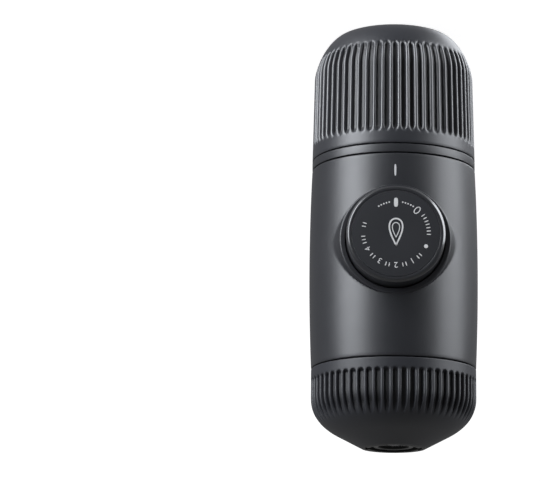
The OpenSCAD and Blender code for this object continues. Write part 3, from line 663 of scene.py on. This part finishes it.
def round_pump(rows):
    """Rows of [distance, reach] set out at each column's bearing, as [across, up, out]."""
    distance, reach = rows[..., 0], rows[..., 1]
    return np.stack([distance * np.sin(bearing), distance * np.cos(bearing), reach], axis=-1)


def belly_reach(distance):
    """How far out the belly lies at a distance from the pump's axis, at each bearing."""
    radius = belly(pump_height + distance * np.cos(bearing))
    return np.sqrt(radius**2 - (distance * np.sin(bearing)) ** 2)


flare_radius, fillet_radius, fillet_top = 25, 12, 28.5
fillet_turn = np.radians(np.linspace(50, 0, 40))
fillet = [
    collar_radius + fillet_radius * (1 - np.cos(fillet_turn)),
    fillet_top - fillet_radius * np.sin(fillet_turn),
]
flare = np.concatenate(
    [
        [(flare_radius, 17.11)],
        np.stack(fillet, axis=1),
        [(collar_radius, r) for r in np.linspace(28.6, 30.2, 12)],
    ]
)
lip, outer_round, inner_round = np.radians(np.linspace(0, 90, 6)), 0.6, 0.3
lip_edge = np.stack(
    [19.4 + outer_round * np.cos(lip), 30.2 + outer_round * np.sin(lip)], axis=1
)
face_edge = np.stack(
    [18.3 - inner_round * np.sin(lip), 30.5 + inner_round * np.cos(lip)], axis=1
)
face = np.array([(19.4, collar_face), (18.3, collar_face)])
loops = bearing.shape[1]
outer_parts = []
for curve, count in ((flare, 22), (lip_edge, 6), (face, 4)):
    distance = np.broadcast_to(curve[:, :1], (len(curve), loops))
    width = (0.2 + 1.4 * np.cos(bearing) ** 2) * np.clip((distance - 18.6) / 1.4, 0.05, 1)
    reach = blended_max(belly_reach(distance), curve[:, 1:], width)
    outer_parts.append(section_rows(distance, reach, count)[1 if outer_parts else 0 :])
outer_rows = np.concatenate(outer_parts)
outer_rows[0, :, 1] = belly_reach(outer_rows[0, :, 0][None])[0]
raised_by = outer_rows[-1, :, 1] - collar_face
tube_radius = 19.9
bore = [(18.0, 29.8), (19.2, 29.8), (19.2, 20), (19.2, 11), (tube_radius, 11)]
mouth = np.concatenate([face_edge[1:], bore])
mouth_rows = np.broadcast_to(mouth[:, None], (len(mouth), loops, 2)).copy()
edge_points = len(face_edge) - 1
mouth_rows[:edge_points, :, 1] += raised_by * np.linspace(1, 0.6, edge_points)[:, None]
tube_height = pump_height + tube_radius * np.cos(bearing)
tube_ring = np.arcsin(tube_radius * np.sin(bearing) / shell_bore)
tube_end = np.stack([np.full(loops, tube_radius), shell_bore * np.cos(tube_ring[0])], axis=-1)
flare_height = pump_height + flare_radius * np.cos(bearing)
flare_ring = np.arcsin(flare_radius * np.sin(bearing) / belly(flare_height))
window_edge = (edge_turn, edge_height)
collar = np.concatenate(
    [
        morph(window_edge, (flare_ring, flare_height), belly, 7),
        round_pump(np.concatenate([outer_rows, mouth_rows, tube_end[None]])),
        morph(window_edge, (tube_ring, tube_height), lambda z: shell_bore + 0 * z, 5)[::-1],
    ]
)
first = len(shell_points)
ring = first + np.arange(loops)
body_shell = solid(
    "smooth_body",
    np.concatenate([shell_points, on_pump(collar).reshape(-1, 3)]),
    [
        shell_faces,
        quads(first, len(collar), loops),
        band(outer_loop, ring),
        band(ring + (len(collar) - 1) * loops, inner_loop),
    ],
    crease=40,
)
finish(body_shell, smooth_anthracite, "shell_plastic", "main", "body_shell")


# ---- Pointer ----
# A short pale line on the belly below the cap, which the dial's marks point at. It is
# pad-printed straight onto the plastic.
def pads(places, half_width, half_length, turn, thickness=0.03, power=3.2):
    """Thin printed oblongs as [across, up, lift], with their faces.

    Each outline is |x / a|^p + |y / b|^p = 1 about its place, turned by an angle.
    """
    t = np.linspace(0, 2 * math.pi, 28, endpoint=False)
    x = np.sign(np.cos(t)) * np.abs(np.cos(t)) ** (2 / power)
    y = np.sign(np.sin(t)) * np.abs(np.sin(t)) ** (2 / power)
    count = len(places)
    x = np.broadcast_to(half_width, count)[:, None] * x
    y = np.broadcast_to(half_length, count)[:, None] * y
    angle = np.broadcast_to(turn, count)[:, None]
    c, s = np.cos(angle), np.sin(angle)
    flat = np.asarray(places)[:, None] + np.stack([c * x + s * y, c * y - s * x], axis=-1)
    low = np.concatenate([flat, np.zeros((count, len(t), 1))], axis=-1)
    high = low + [0, 0, thickness]
    points = np.stack([low, high], axis=1).reshape(-1, 3)
    ring = 2 * len(t) * np.arange(count)[:, None]
    faces = [quads(first, 2, len(t)) for first in ring[:, 0]]
    return points, faces + [ring + np.arange(len(t))[::-1], ring + len(t) + np.arange(len(t))]


def ink(name, tint, roughness=0.5):
    """Pad-printed ink: even, with a slightly broken, rubbed surface."""
    made, at, where = blank(name)
    grain = at.node("TexNoise", inputs={"Vector": where, "Scale": 1500, "Detail": 3})
    shade = 0.86 + 0.28 * grain
    colour = at.node("VectorMath", {"operation": "SCALE"}, {0: tint, "Scale": shade})
    dull = roughness + 0.2 * (grain - 0.5)
    surface = at.node("BsdfPrincipled", inputs={"Base Color": colour, "Roughness": dull})
    at.node("OutputMaterial", inputs={"Surface": surface})
    return made


pale_ink = ink("pale_ink", (0.56, 0.56, 0.57))
pad_points, pad_faces = pads([(0, 58.2)], 0.36, 2.15, 0)
across, upward, lift = pad_points.T
pad_points = spun(belly(upward) + lift, across / belly_radius, upward)
pointer = solid("pointer_line", pad_points, pad_faces)
finish(pointer, pale_ink, "shell_plastic", "main")


# ---- Piston cap ----
# A round satin-black cap on the piston's end, pushed in to pump. Two lugs behind its rim
# lock it in the sleeve, and its face has a worn bevel and a seat for the dial.
def turned_on_pump(outline, columns):
    """A closed outline of [distance, reach] swept once round the pump's axis."""
    around = np.linspace(0, 2 * math.pi, columns, endpoint=False)[None, :]
    distance, reach = outline[:, :1], outline[:, 1:]
    points = np.stack(
        np.broadcast_arrays(distance * np.sin(around), distance * np.cos(around), reach), axis=-1
    )
    faces = turned(outline, columns)[1]
    return on_pump(points).reshape(-1, 3), faces


cap_outline = rounded(
    [
        (17.6, 12), (17.6, 39.15), (16.75, 40), (15.8, 40), (15.8, 38.7), (7.6, 38.7), (7.6, 36.95),
        (5.2, 36.95), (5.2, 34.3), (15.3, 34.3), (15.3, 12),
    ],
    [0.3, 0.25, 0.25, 0.12, 0.1, 0.1, 0.1, 0.1, 0.1, 0.8, 0.3],
)
cap_columns = 240
cap_points, cap_faces = turned_on_pump(cap_outline, cap_columns)
lug_section = np.array(
    [(17.3, 12.2), (17.3, 14.2), (18.6, 14.4), (18.9, 14.1), (18.9, 12.3), (18.6, 12.0)]
)
lug_half, lug_steps, corners = 7, 9, len(lug_section)
lugs, lug_faces = [], []
for middle in (90, 270):
    turn = np.radians(np.linspace(middle - lug_half, middle + lug_half, lug_steps))[:, None]
    distance, reach = lug_section.T[:, None]
    lug = np.broadcast_arrays(distance * np.sin(turn), distance * np.cos(turn), reach)
    first = len(cap_points) + len(lugs) * lug_steps * corners
    lugs.append(np.stack(lug, axis=-1).reshape(-1, 3))
    ends = first + np.array([[0], [(lug_steps - 1) * corners]]) + np.arange(corners)
    lug_faces += [quads(first, lug_steps, corners), ends]
on_bevel = (cap_outline[:, 0] > 16.6) & (cap_outline[:, 1] > 38.8)
cap_worn = np.repeat(np.where(on_bevel, 1, 0.5), cap_columns)
satin_black = plastic("satin_black", (0.0125, 0.013, 0.015), roughness=0.36, grain=0.25, shade_and_wear=0.16)
cap = solid(
    "round_cap",
    np.concatenate([cap_points, on_pump(np.concatenate(lugs))]),
    cap_faces + lug_faces,
    crease=30,
    shade_and_wear=np.concatenate([cap_worn, np.full(2 * lug_steps * corners, 0.5)]),
)
finish(cap, satin_black, "cap_plastic", "cap", "piston_cap")


# ---- Dial ----
# A thin disc let into the cap's face, with pale printed marks: a wide bar that points at
# the body's line, dots on the way to open, small ticks and numbers, and a plain drop.
dial_face = 39.95
dial_outline = rounded(
    [(0.02, 38.8), (15.7, 38.8), (15.7, dial_face), (0.02, dial_face)], [0.01, 0.1, 0.12, 0.01]
)
disc_black = plastic("disc_black", (0.018, 0.0188, 0.022), roughness=0.62, grain=0.2, specular=0.3)
dial_disc = solid("dial_disc", *turned_on_pump(dial_outline, 192))
finish(dial_disc, disc_black, "dial_plastic", "cap", "dial")


def dial_place(distance, degrees):
    """Place at a distance and an angle from straight down, turning towards -X."""
    angle = np.radians(degrees)
    return np.stack([-distance * np.sin(angle), -distance * np.cos(angle)], axis=-1)


bar_ring, dot_ring, tick_ring, digit_ring, digit_size = 11.2, 11.5, 11.6, 11.4, 2.9
zero_at, big_dot_at, numbers_at = 42, 114, np.array([150, 180, 210, 240])
dots_at = np.array([12, 17, 22, 27, 32, -12, -17, -22, -27, -32])
ticks_at = np.concatenate([np.arange(56, 98, 6), np.arange(132, 270, 6), [282, 288]])
ticks_at = ticks_at[np.abs(ticks_at[:, None] - numbers_at).min(axis=1) > 7]
marks, mark_faces = np.zeros((0, 3)), []
for distance, degrees, half_width, half_length, turn in (
    (bar_ring, np.array([0]), 0.72, 1.65, 0),
    (dot_ring, dots_at, 0.28, 0.28, 0),
    (tick_ring, ticks_at, 0.17, 0.75, np.radians(ticks_at)),
    (tick_ring, np.array([big_dot_at]), 0.7, 0.7, 0),
):
    power = 2 if half_width == half_length else 3.2
    places = dial_place(distance, degrees)
    points, faces = pads(places, half_width, half_length, turn, 0.02, power)
    mark_faces += [block + len(marks) for block in faces]
    marks = np.concatenate([marks, points])


def stroke(path, width, thickness=0.02):
    """A printed line along a closed path, whose points move half its width along the normals."""
    count = len(path)
    along = np.roll(path, -1, axis=0) - np.roll(path, 1, axis=0)
    along /= np.linalg.norm(along, axis=1, keepdims=True)
    normal = np.stack([-along[:, 1], along[:, 0]], axis=1)
    rows = [
        np.column_stack([path + side * width / 2 * normal, np.full(count, level * thickness)])
        for side, level in ((-1, 0), (1, 0), (1, 1), (-1, 1))
    ]
    return np.concatenate(rows), [
        quads(0, len(rows), count),
        band((len(rows) - 1) * count + np.arange(count), np.arange(count)),
    ]


t = np.linspace(0, 2 * math.pi, 96, endpoint=False)
drop_path = np.stack([3.3 * np.sin(t) * np.sin(t / 2) ** 1.4, 4.9 * np.cos(t) - 0.4], axis=1)
small_drop = drop_path * 0.55 + [0, -0.9]
lean = math.radians(zero_at)
leaning = np.array([[math.cos(lean), -math.sin(lean)], [-math.sin(lean), -math.cos(lean)]])
ellipse = np.stack([0.8 * np.cos(t), 1.35 * np.sin(t)], axis=1)
zero = dial_place(bar_ring, np.array([zero_at])) + ellipse @ leaning
for path, width in ((drop_path, 0.55), (small_drop, 0.3), (zero, 0.34)):
    points, faces = stroke(path, width)
    mark_faces += [block + len(marks) for block in faces]
    marks = np.concatenate([marks, points])
marks[:, 2] += dial_face + 0.008
white_ink = ink("white_ink", (0.62, 0.62, 0.62))
finish(solid("dial_marks", on_pump(marks), mark_faces), white_ink, "dial_plastic", "cap")

joined = bmesh.new()
for number, degrees in zip("1234", numbers_at.tolist()):
    font = bpy.data.curves.new("digit", "FONT")
    font.body, font.size, font.extrude, font.resolution_u = number, digit_size * mm, 0.01 * mm, 3
    font.align_x, font.align_y = "CENTER", "CENTER"
    digit = bpy.data.objects.new("digit", font)
    bpy.context.scene.collection.objects.link(digit)
    bpy.context.view_layer.update()
    drawn = digit.evaluated_get(bpy.context.evaluated_depsgraph_get())
    shape = bpy.data.meshes.new_from_object(drawn)
    across, rise = dial_place(digit_ring, degrees)
    shape.transform(
        Matrix.Translation((across * mm, -(dial_face + 0.018) * mm, (pump_height + rise) * mm))
        @ Matrix.Rotation(math.radians(degrees - 180), 4, "Y")
        @ Matrix.Rotation(math.radians(90), 4, "X")
    )
    joined.from_mesh(shape)
    bpy.data.objects.remove(digit)
bmesh.ops.remove_doubles(joined, verts=joined.verts, dist=1e-6)
bmesh.ops.recalc_face_normals(joined, faces=joined.faces)
digits_mesh = bpy.data.meshes.new("dial_numbers")
joined.to_mesh(digits_mesh)
joined.free()
digits = bpy.data.objects.new("dial_numbers", digits_mesh)
bpy.context.scene.collection.objects.link(digits)
finish(digits, white_ink, "dial_plastic", "cap")


# ---- Outlet head ----
# The fluted cup of satin plastic that screws onto the neck and holds the basket, with a
# plain cone that runs up to the spout.
head_low, bend_start, cone_slope = 126.175, 136.7, 0.5275
cone_low, cone_high = np.array([20.65, 150.1]), np.array([11.65, 154.85])
straight = np.linspace(head_low + 0.4, bend_start, 200)[:-1]
corner = [seam_radius, cone_low[1] - cone_slope * (seam_radius - cone_low[0])]
t = np.linspace(0, 1, 120)[:, None]
bend = (1 - t) ** 2 * [seam_radius, bend_start] + 2 * t * (1 - t) * corner + t**2 * cone_low
head_path = np.concatenate(
    [
        np.stack([np.full(len(straight), seam_radius), straight], axis=1),
        bend,
        cone_low + np.linspace(0, 1, 60)[1:, None] * (cone_high - cone_low),
    ]
)
head_outer = resample(head_path, 78, (130.3, 1, 4), (144, 2.2, 1.2))
height = head_outer[:, 1]
low_end, high_end = (129.5, 131.0), (146.4, 141.5)
open_flute = ramp(height, *low_end) * ramp(height, *high_end)
round_top, round_height = 130.5, 0.95
from_top = np.clip(round_top - height, 0, round_height) / round_height
round_start = np.sqrt(np.clip(1 - from_top**2, 0, 1))
head_edge = np.array([(29.9, head_low), (30.07, 126.24), (seam_radius, 126.42)])
head_outer = np.concatenate([head_edge, head_outer])
open_flute, round_start = np.pad([open_flute, round_start], ((0, 0), (3, 0)))
head_flute_depth = 1.2
head_rib = plain_share - 0.44 * round_start * open_flute**0.4
# The flute floors' values give painted shade, darker flutes, and the ribs' values their wear.
head_points, head_shade_and_wear = fluted_wall(
    head_outer, head_rib, head_flute_depth * open_flute, crown=0.35
)
hollow = head_path + wall * inward(head_path)
hollow = hollow[(hollow[:, 1] > 137.8) & (hollow[:, 0] > 11.5)]
head_inner = np.concatenate(
    [
        [(10.5, 154.88), (10.3, 154.7), (10.3, hollow[-1][1] + 0.3), (10.6, hollow[-1][1])],
        resample(hollow[::-1], 16),
        [(25.6, 137.2), (25.6, 135.8), (thread_radius, 135.8), (thread_radius, head_low)],
    ]
)
flute_half = 0.39 * half_pitch
around = np.radians(np.arange(inner_columns) * 360 / inner_columns + flute_half)
inner_points = spun(head_inner[:, :1], around[None], head_inner[:, 1:])
outer_count = len(head_outer) * outer_columns
inner_count = len(head_inner) * inner_columns
last_ring = outer_count - outer_columns
ridge_points, ridge_faces = thread(thread_radius, 126.675)
head_shell = solid(
    "fluted_head",
    np.concatenate([head_points.reshape(-1, 3), inner_points.reshape(-1, 3), ridge_points]),
    [
        quads(0, len(head_outer), outer_columns),
        quads(outer_count, len(head_inner), inner_columns),
        bridge(last_ring, outer_count),
        bridge(0, outer_count + inner_count - inner_columns),
    ]
    + [outer_count + inner_count + block for block in ridge_faces],
    shade_and_wear=np.concatenate(
        [np.minimum(head_shade_and_wear, 0.62).ravel(), np.full(inner_count + len(ridge_points), 0.3)]
    ),
)
# Painted shade: the head's plastic is a less glossy, rougher copy of the tank's, and its ribs' coat
# is capped at 0.62, so that the head renders darker than the tank.
head_shaded_anthracite = plastic(
    "head_shaded_anthracite", (0.0122, 0.013, 0.0162), roughness=0.48, shade_and_wear=0.48, specular=0.5
)
finish(head_shell, head_shaded_anthracite, "fluted_plastic", "head", "head_shell")


# ---- Outlet nozzle ----
# A matt black spout pressed into the cone's hole. Round its tube runs a groove, and four
# notches in the collar let air in when a cup stands on it.
half_width, collar_middle, notch_floor = 2.25, 9.6, 154.32
notch_half = math.degrees(math.asin(half_width / collar_middle))
quarter = np.concatenate(
    [
        np.array([-notch_half - 0.4, -notch_half + 0.4, notch_half - 0.4, notch_half + 0.4]),
        np.linspace(-notch_half + 2, notch_half - 2, 7),
        np.linspace(notch_half + 2, 88 - notch_half, 19),
    ]
)
around = np.sort(np.add.outer([0, 90, 180, 270], quarter).ravel() % 360)
spout_outline = rounded(
    [
        (5.6, 146.62), (7.38, 146.62), (7.38, 152.42), (10.18, 152.42), (10.18, 154.98),
        (9.02, 154.98), (9.02, 153.42), (7.38, 153.42), (7.38, 154.38), (5.62, 154.38),
    ],
    [0.15, 0.2, 0.15, 0.25, 0.5, 0.3, 0.2, 0.2, 0.5, 0.45],
    5,
)
spout_points = spun(spout_outline[:, :1], np.radians(around)[None], spout_outline[:, 1:])
in_notch = np.abs((around + 45) % 90 - 45) < notch_half
on_collar = spout_outline[:, :1] > 7.7
notched = np.minimum(spout_points[..., 2], notch_floor)
spout_points[..., 2] = np.where(in_notch[None] & on_collar, notched, spout_points[..., 2])
spout_black = plastic("spout_black", (0.0075, 0.0077, 0.0085), roughness=0.38, grain=0.25)
spout = solid("notched_spout", spout_points, turned(spout_outline, len(around))[1], crease=40)
finish(spout, spout_black, "nozzle_plastic", "head", "outlet_nozzle")


# ---- Inner frame ----
# The decks, the pump block, the neck and the basket's holder: black nylon moulded with a
# coarser spark-eroded grain, since it is seen only when the maker is apart.
def dress(material, *nodes):
    """Gives CAD nodes a material in place of their plain one."""
    for name in nodes:
        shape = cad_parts[name]
        if not shape.material_slots:
            shape.data.materials.append(material)
        for place in shape.material_slots:
            place.material = material


inner_black = plastic("inner_black", (0.02, 0.0205, 0.022), roughness=0.5, grain=0.6)
dress(inner_black, "tank_deck", "pump_frame", "group_plate", "basket_holder")


# ---- Pump ----
# A turned steel barrel and piston on the pump's axis. The lathe leaves fine rings round
# the axis, and the coffee maker's water leaves faint dull patches.
def metal(name, tint, roughness, rings=(2400, 2400, 2400), lay=0.5):
    """Bare metal with tool marks.

    rings scales a noise along each axis, so a large value on one gives fine rings across it.
    """
    made, at, where = blank(name)
    scaled = at.node("VectorMath", {"operation": "MULTIPLY"}, {0: where, 1: rings})
    marks = at.node(
        "TexNoise", inputs={"Vector": scaled, "Scale": 1, "Detail": 3, "Roughness": 0.6}
    )
    patch = at.node(
        "TexNoise", inputs={"Vector": where, "Scale": 120, "Detail": 4, "Roughness": 0.65}
    )
    shade = 1 + 0.16 * (marks - 0.5) + 0.14 * (patch - 0.5)
    colour = at.node("VectorMath", {"operation": "SCALE"}, {0: tint, "Scale": shade})
    dull = roughness + 0.22 * (patch - 0.5) + 0.12 * (marks - 0.5)
    bump = at.node("Bump", inputs={"Strength": lay, "Distance": 0.00002, "Height": marks})
    look = {"Base Color": colour, "Metallic": 1, "Roughness": dull, "Normal": bump}
    at.node("OutputMaterial", inputs={"Surface": at.node("BsdfPrincipled", inputs=look)})
    return made


turned_steel = metal("turned_steel", (0.6, 0.6, 0.615), 0.3, rings=(60, 9000, 60))
dress(turned_steel, "pump_barrel", "piston")
black_rubber = rubber("black_rubber", (0.017, 0.017, 0.018), roughness=0.45)
dress(black_rubber, "barrel_o_rings", "piston_seal")
white_bearing = plastic("white_bearing", (0.8, 0.79, 0.74), roughness=0.4, grain=0.15)
dress(white_bearing, "wear_ring")


# ---- Lock sleeve and screws ----
# The sleeve is rolled from thin steel sheet and lightly brushed. The screws and the cap's
# washer are plated and smooth, with a few dull spots.
sheet_steel = metal("sheet_steel", (0.63, 0.63, 0.64), 0.34, rings=(500, 500, 7000), lay=0.35)
dress(sheet_steel, "lock_sleeve")
plated_steel = metal("plated_steel", (0.68, 0.68, 0.69), 0.2, lay=0.15)
dress(plated_steel, "barrel_screws", "shower_screw", "cap_washer", "cap_screw")


# ---- Return spring ----
# Drawn steel wire, wound in seven turns round the barrel and closed up at both ends. It
# sits between the barrel's flange and the plate on the piston's rod.
def coiled(mean_radius, wire, turns, low, high, steps=40, sides=14):
    """A coil of round wire between two heights, as [across, up, along the axis] points.

    The wire's middle climbs by s - c sin(2 pi s) / (2 pi) of the height, s being its share
    of the turns and c how closely the end turns lie together. Round it runs a circle of
    the wire's radius, across the climb, which closes to a point at both ends.
    """
    closed_up = 0.36
    s = np.linspace(0, 1, int(turns * steps))[:, None]
    turn = 2 * math.pi * turns * s
    span = high - low - wire
    climb = low + wire / 2 + span * (s - closed_up * np.sin(2 * math.pi * s) / (2 * math.pi))
    slope = span * (1 - closed_up * np.cos(2 * math.pi * s)) / (2 * math.pi * turns)
    pitch = np.arctan(slope / mean_radius)
    phase = np.linspace(0, 2 * math.pi, sides, endpoint=False)[None]
    ends = np.sqrt(np.clip(1 - (np.abs(s - 0.5) * 2) ** 400, 0, 1))
    out, rise = wire / 2 * ends * np.cos(phase), wire / 2 * ends * np.sin(phase)
    radius, back = mean_radius + out, -rise * np.sin(pitch)
    points = np.stack(
        [
            radius * np.cos(turn) - back * np.sin(turn),
            radius * np.sin(turn) + back * np.cos(turn),
            climb + rise * np.cos(pitch),
        ],
        axis=-1,
    )
    return points, [quads(0, len(s), sides)]


spring_steel = metal("spring_steel", (0.58, 0.58, 0.6), 0.28)
spring_points, spring_faces = coiled(11.4, 1.4, 7, 12.9, 31.9)
return_spring = solid("pump_spring_coil", on_pump(spring_points), spring_faces, crease=60)
finish(return_spring, spring_steel, "spring_steel", None, "return_spring")
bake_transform(return_spring)


# ---- Hoses and duckbills ----
# Short milky silicone hoses lead from the tank to the pump and from the pump to the head.
# The duckbill valves on their spigots are cast in cream silicone.
milky_silicone = rubber("milky_silicone", (0.66, 0.68, 0.7), roughness=0.35, bloom=0.06)
milky = next(node for node in milky_silicone.node_tree.nodes if node.type == "BSDF_PRINCIPLED")
milky.inputs["Transmission Weight"].default_value = 0.45
milky.inputs["IOR"].default_value = 1.41
dress(milky_silicone, "inlet_hose", "delivery_hose")
cream_silicone = rubber("cream_silicone", (0.66, 0.61, 0.5), roughness=0.5, bloom=0.08)
dress(cream_silicone, "inlet_valve", "delivery_valve", "air_valve")


# ---- Brew group ----
# The perforated shower plate and the filter basket are pressed from steel sheet, and the
# basket's rim seals on a grey silicone ring in the group's plate.
pressed_steel = metal("pressed_steel", (0.64, 0.64, 0.65), 0.3, rings=(300, 300, 6000), lay=0.3)
dress(pressed_steel, "shower_plate", "filter_basket")
dress(grey_silicone, "group_gasket")


# ---- Pressure valve ----
# Inside the spout a small turned poppet with a red silicone seal is held shut by a fine
# coil spring, under a perforated retainer.
turned_poppet = metal("turned_poppet", (0.6, 0.6, 0.615), 0.28, rings=(60, 60, 9000))
dress(turned_poppet, "pressure_valve", "spring_retainer")
red_silicone = rubber("red_silicone", (0.36, 0.1, 0.07), roughness=0.45)
dress(red_silicone, "valve_seal")
coil_points, coil_faces = coiled(2.1, 0.5, 3, 148.65, 152.35, steps=36, sides=10)
valve_spring = solid("valve_spring_coil", coil_points, coil_faces, crease=60)
finish(valve_spring, spring_steel, "spring_steel", None, "valve_spring")
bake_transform(valve_spring)
